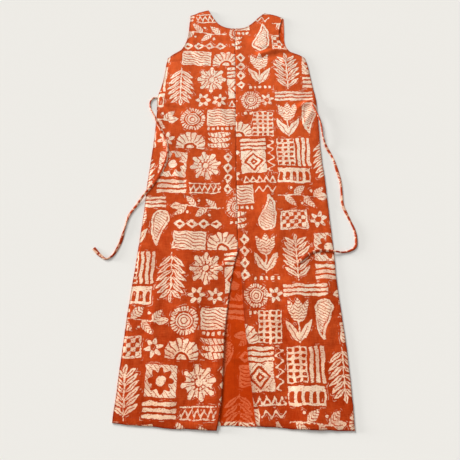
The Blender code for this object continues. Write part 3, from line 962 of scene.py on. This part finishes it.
TIE_FULL_WIDTH = 0.0115
TIE_SLACK = 0.9
TIE_THICKNESS = 0.0018
CAD_TIE = 0.0024
TIE_ROWS_EACH = 0.0016
TIE_AROUND = 16
TIE_RISE = 0.13
TIE_TILT = 0.22
TIE_TWIST = 0.35
STEEPEST_TILT = 0.3
TIE_CLEAR = 0.0001
MERGE_TIE = 0.00001

# A route runs from the seam to the cut end, each place with an x, a height and the width that shows
Strap = namedtuple("Strap", "node print_shift route")
STRAPS = (
    Strap("tie_left", (80.0, 336.0), (
        (-0.2272, 1.0062, 0.0050), (-0.2372, 1.0045, 0.0060), (-0.2455, 0.9964, 0.0060),
        (-0.2490, 0.9825, 0.0045), (-0.2454, 0.9638, 0.0045), (-0.2345, 0.9419, 0.0055),
        (-0.2185, 0.9070, 0.0090), (-0.1950, 0.8560, 0.0110), (-0.1835, 0.8170, 0.0075),
        (-0.1880, 0.7750, 0.0105), (-0.2130, 0.7155, 0.0115), (-0.2465, 0.6649, 0.0085),
        (-0.2697, 0.6297, 0.0090), (-0.2900, 0.5985, 0.0080), (-0.3005, 0.5600, 0.0050),
        (-0.3100, 0.5160, 0.0112), (-0.3210, 0.4880, 0.0090), (-0.3335, 0.4695, 0.0060),
        (-0.3483, 0.4620, 0.0045), (-0.3665, 0.4725, 0.0100), (-0.3885, 0.4945, 0.0120),
    )),
    Strap("tie_right", (295.0, 328.0), (
        (0.2800, 0.9810, 0.0050), (0.2870, 0.9610, 0.0050), (0.2965, 0.9370, 0.0055),
        (0.3035, 0.9060, 0.0060), (0.3093, 0.8520, 0.0045), (0.3155, 0.8285, 0.0095),
        (0.3240, 0.8089, 0.0100), (0.3345, 0.7860, 0.0055), (0.3445, 0.7450, 0.0110),
        (0.3525, 0.7060, 0.0075), (0.3532, 0.6700, 0.0070), (0.3542, 0.6277, 0.0095),
        (0.3630, 0.6020, 0.0105), (0.3735, 0.5747, 0.0070), (0.3818, 0.5530, 0.0070),
        (0.3850, 0.5230, 0.0085), (0.3803, 0.4975, 0.0090), (0.3640, 0.4865, 0.0070),
        (0.3448, 0.4820, 0.0050), (0.3180, 0.4840, 0.0060), (0.2800, 0.4862, 0.0095),
        (0.2540, 0.4812, 0.0100), (0.2315, 0.4675, 0.0110), (0.2085, 0.4500, 0.0110),
    )),
)


def top_of(cloth, x, y):
    """The height of a cloth's upper face at one place, or nothing beside it."""
    hit, place = cloth.ray_cast(Vector((x, y, 1)), Vector((0, 0, -1)))[:2]
    return place.z if hit else None


def left_of(line):
    """The direction straight to the left of a line, at each of its points."""
    heading = np.gradient(line, axis=0)
    heading /= np.hypot(*heading.T)[:, None]
    return np.stack([-heading[:, 1], heading[:, 0]], axis=1)


for strap in STRAPS:
    front_node = strap.node.replace("tie", "front")
    x, height, widths = np.array(strap.route).T
    route = np.stack(at(x, height), axis=1)
    places = np.linspace(0, 1, int(length_of(route) / TIE_ROWS_EACH))
    middle = read_line(route, places)
    width = np.interp(places, run_of(route) / length_of(route), widths)
    width = TIE_SLACK * soften(width[:, None], 5, 2)[:, 0]
    sideways = -left_of(middle)
    top = soften(solid_top(strap.node, middle[:, None]), 3, 2)[:, 0]
    half_height = TIE_THICKNESS / 2 + TIE_RISE * np.maximum(TIE_FULL_WIDTH - width, 0)
    under = []
    for side in (-0.4, 0, 0.4):
        beneath = middle + sideways * side * width[:, None]
        under.append([top_of(front_sheets[front_node], *place) or 0 for place in beneath])
    bottom = np.maximum(top - CAD_TIE, np.max(under, axis=0))
    centre_z = soften(bottom[:, None], 2, 2)[:, 0] + half_height + TIE_CLEAR
    tilt = TIE_TILT * waves(places, 0 * places, 0.16, 41) + TIE_TWIST * np.gradient(width) / TIE_ROWS_EACH
    ring = np.linspace(-math.pi / 2, 1.5 * math.pi, TIE_AROUND + 1)
    round_u = np.sign(np.cos(ring)) * abs(np.cos(ring)) ** 0.8
    round_v = np.sin(ring)
    u = round_u[None] * width[:, None] / 2
    v = round_v[None] * half_height[:, None]
    v = v + u * np.tan(np.clip(tilt, -STEEPEST_TILT, STEEPEST_TILT))[:, None]
    v = np.maximum(v, -half_height[:, None] - TIE_CLEAR / 2)
    net = middle[:, None] + u[..., None] * sideways[:, None]
    tube = sheet_from(strap.node + "_cloth", net, centre_z[:, None] + v)
    around, along = np.meshgrid(ring / math.pi * TIE_FULL_WIDTH, places * length_of(middle))
    print_on(tube, along.ravel(), around.ravel(), strap.print_shift)
    bpy.ops.object.mode_set(mode="EDIT")
    bpy.ops.mesh.select_all(action="SELECT")
    bpy.ops.mesh.remove_doubles(threshold=MERGE_TIE)
    bpy.ops.mesh.select_all(action="DESELECT")
    bpy.ops.mesh.select_mode(type="EDGE")
    bpy.ops.mesh.select_non_manifold()
    bpy.ops.mesh.edge_face_add()
    bpy.ops.mesh.select_all(action="SELECT")
    bpy.ops.mesh.normals_make_consistent(inside=False)
    bpy.ops.object.mode_set(mode="OBJECT")
    tube.data.materials.append(strap_cotton_painted_shade)
    bpy.ops.object.shade_smooth_by_angle(angle=math.radians(60))
    tube.select_set(False)
    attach(tube, "root")
    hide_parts(strap.node)

# Stitches
#
# Rust thread: a row inside every turned edge of the fronts, a row along each bust dart, and a
# dense bar tack that holds the top of the slit.

STITCH_LENGTH = 0.0026
STITCH_PITCH = 0.0036
STITCH_RADIUS = 0.00028
STITCH_RINGS = ((-0.5, 0.35), (-0.28, 1.0), (0.28, 1.0), (0.5, 0.35))
STITCH_SIDES = 5
TACK_STITCHES = 13
TACK_PITCH = 0.00055
TACK_HALF = 0.0038
TACK_RADIUS = 0.00042


def inside(line, distance, towards):
    """A line moved sideways by a distance, to the side where a point lies."""
    sideways = left_of(line)
    side = np.sign(np.sum((np.asarray(towards) - line) * sideways, axis=1))
    return line + sideways * side[:, None] * distance


def stitch_between(thread, start, end, radius):
    """One stitch: a short thread that dips into the cloth at both ends."""
    middle = (start + end) / 2
    run = end - start
    across = run.cross(Vector((0, 0, 1))).normalized()
    up = across.cross(run).normalized()
    rings = []
    for place, swell in STITCH_RINGS:
        ring = []
        for k in range(STITCH_SIDES):
            angle = 2 * math.pi * k / STITCH_SIDES
            out = across * math.cos(angle) * 1.25 * swell + up * (math.sin(angle) * swell + swell - 1)
            ring.append(thread.verts.new(middle + run * place + out * radius))
        rings.append(ring)
    for low, high in zip(rings[:-1], rings[1:]):
        for k in range(STITCH_SIDES):
            after = (k + 1) % STITCH_SIDES
            thread.faces.new((low[k], low[after], high[after], high[k]))
    thread.faces.new(rings[0][::-1])
    thread.faces.new(rings[-1])


def plain(name, tone, roughness, specular):
    """A material with one colour all over."""
    material = bpy.data.materials.new(name)
    material.use_nodes = True
    inputs = material.node_tree.nodes["Principled BSDF"].inputs
    inputs["Base Color"].default_value = tone
    inputs["Roughness"].default_value = roughness
    inputs["Specular IOR Level"].default_value = specular
    return material


thread = bmesh.new()
BODY_LEFT, BODY_RIGHT = at(-0.120, 0.700), at(0.170, 0.700)
for front in FRONTS:
    cloth = front_sheets[front.node]
    body = BODY_LEFT if front.side < 0 else BODY_RIGHT
    for edge_line, turn in stitched[front.node]:
        length = length_of(edge_line)
        count = int(length / STITCH_PITCH)
        starts = np.arange(count) * STITCH_PITCH
        row = inside(read_line(edge_line, np.linspace(0, 1, 200)), turn - STITCH_INSET, body)
        ends = read_line(row, (starts + STITCH_LENGTH) / length)
        starts = read_line(row, starts / length)
        for (x1, y1), (x2, y2) in zip(starts, ends):
            z1, z2 = top_of(cloth, x1, y1), top_of(cloth, x2, y2)
            if z1 and z2:
                stitch_between(thread, Vector((x1, y1, z1)), Vector((x2, y2, z2)), STITCH_RADIUS)
for k in range(TACK_STITCHES):
    y = SLIT_TOP[1] + 0.0005 + TACK_PITCH * k
    heights = [top_of(cloth, SLIT_TOP[0] + side, y) or 0 for cloth in front_sheets.values()
               for side in (-TACK_HALF, TACK_HALF)]
    tack = Vector((SLIT_TOP[0], y, max(heights) + 0.0002))
    reach = Vector((TACK_HALF, 0, 0))
    stitch_between(thread, tack - reach, tack + reach, TACK_RADIUS)
stitch_mesh = bpy.data.meshes.new("stitches")
thread.to_mesh(stitch_mesh)
thread.free()
stitches = bpy.data.objects.new("stitches", stitch_mesh)
bpy.context.scene.collection.objects.link(stitches)
stitch_mesh.shade_smooth()
stitch_mesh.materials.append(plain("rust thread", colour(150, 46, 12), 0.7, 0.5))
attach(stitches, "root")

# Surface, light and camera
#
# A plain pale floor, a soft light from the left and a camera above the dress, 17.6 degrees off
# straight down, as in the photograph.

CAMERA_HEIGHT = 1.2777
CAMERA_TILT = math.radians(17.6)
CAMERA_PLACE = (0.0122, -0.5344)
FOCAL_PIXELS = 450
FRAME_PIXELS = 460
SENSOR = 36.0
FLOOR_SIZE = 40
FLOOR_HEIGHT = -0.0001
SKY_COLOUR = (1.0, 0.99, 0.975, 1.0)
SKY_STRENGTH = 0.455

bpy.ops.mesh.primitive_plane_add(size=FLOOR_SIZE, location=(0, 0, FLOOR_HEIGHT))
floor = bpy.context.object
floor.name = "floor"
floor.data.materials.append(plain("pale floor", colour(236, 234, 229), 0.9, 0.0))

sky = bpy.data.worlds.new("soft sky")
bpy.context.scene.world = sky
sky.use_nodes = True
background = sky.node_tree.nodes["Background"]
background.inputs["Color"].default_value = SKY_COLOUR
background.inputs["Strength"].default_value = SKY_STRENGTH

# A broad lamp on the upper left, and a very low one on the left that rakes across the folds
LAMPS = (("key", 122, 22, 22, 3.75), ("rake", 169, 4.0, 9, 5.2))
for name, heading, elevation, spread, power in LAMPS:
    bpy.ops.object.light_add(type="SUN")
    light = bpy.context.object
    light.name = name
    light.data.angle = math.radians(spread)
    light.data.energy = power
    turn, rise = math.radians(heading), math.radians(elevation)
    toward = Vector((math.cos(turn), math.sin(turn), math.tan(rise)))
    light.rotation_euler = toward.to_track_quat("Z", "Y").to_euler()

bpy.ops.object.camera_add(location=(*CAMERA_PLACE, CAMERA_HEIGHT), rotation=(CAMERA_TILT, 0, 0))
camera = bpy.context.object
camera.data.sensor_width = SENSOR
camera.data.lens = SENSOR * FOCAL_PIXELS / FRAME_PIXELS
bpy.context.scene.camera = camera
bpy.context.scene.view_settings.view_transform = "Standard"
bpy.context.scene.view_settings.look = "None"
